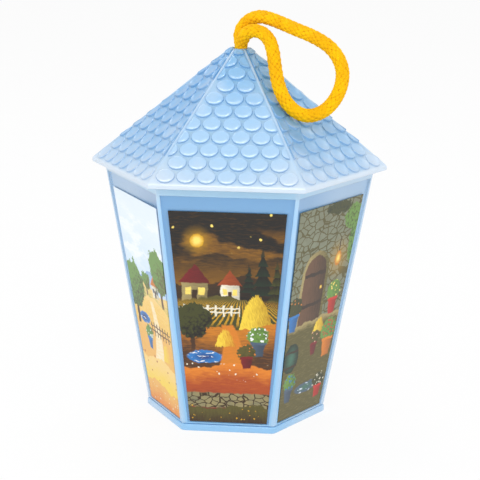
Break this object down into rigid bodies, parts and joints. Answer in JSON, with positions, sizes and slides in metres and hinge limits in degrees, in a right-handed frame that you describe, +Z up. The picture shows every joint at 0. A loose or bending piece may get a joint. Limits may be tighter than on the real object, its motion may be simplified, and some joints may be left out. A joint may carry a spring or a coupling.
{
  "type": "lantern",
  "caption": "Six-sided plastic hanging lantern with a tiled lift-off roof, picture panels, a carrying cord and a battery light on its base.",
  "frame": {"origin": "centre of the base's footprint, on the surface that the lantern stands on", "axes": "+Z up through the roof's tip, -Y out of the front side, +X to the right seen from the front"},
  "size_m": [0.13, 0.1126, 0.1799],
  "materials": {
    "blue_plastic": "translucent pale blue, satin",
    "lamp_plastic": "matt white",
    "diffuser": "milky warm white",
    "printed_sheet": "printed, satin",
    "cord": "braided yarn",
    "steel": "nickel plated",
    "battery_sleeve": "printed sleeve, bare",
    "board": "solder mask",
    "resistor_body": "lacquered",
    "led_lens": "clear warm",
    "wire_red": "insulation",
    "wire_black": "insulation",
    "black_plastic": "matt"
  },
  "bodies": {
    "base": {"base_plate": "blue_plastic", "battery_1": "battery_sleeve", "battery_2": "battery_sleeve", "contact_bridge": "steel", "contact_negative": "steel", "contact_positive": "steel", "circuit_board": "board", "resistor": "resistor_body", "switch_body": "steel", "led": "led_lens", "wire_black": "wire_black", "wire_red": "wire_red", "lamp_cover": "lamp_plastic", "flame_diffuser": "diffuser", "cover_screw_1": "steel", "cover_screw_2": "steel"},
    "switch": {"switch_slider": "black_plastic"},
    "door": {"battery_door": "blue_plastic", "battery_door_screw_1": "steel", "battery_door_screw_2": "steel"},
    "shell": {"lantern_shell": "blue_plastic", "picture_front": "printed_sheet", "picture_front_right": "printed_sheet", "picture_back_right": "printed_sheet", "picture_back": "printed_sheet", "picture_back_left": "printed_sheet", "picture_front_left": "printed_sheet"},
    "roof": {"roof": "blue_plastic", "cord_neck": "cord", "cord_loop": "cord", "cord_knot": "cord"}
  },
  "joints": [
    {"name": "shell_lift", "type": "slide", "parent": "base", "child": "shell", "axis": [0, 0, 1], "range_m": [0, 0.06]},
    {"name": "roof_lift", "type": "slide", "parent": "shell", "child": "roof", "axis": [0, 0, 1], "range_m": [0, 0.05]},
    {"name": "switch_slide", "type": "slide", "parent": "base", "child": "switch", "axis": [0, 1, 0], "range_m": [0, 0.003]},
    {"name": "battery_door_drop", "type": "slide", "parent": "base", "child": "door", "axis": [0, 0, -1], "range_m": [0, 0.03]}
  ]
}
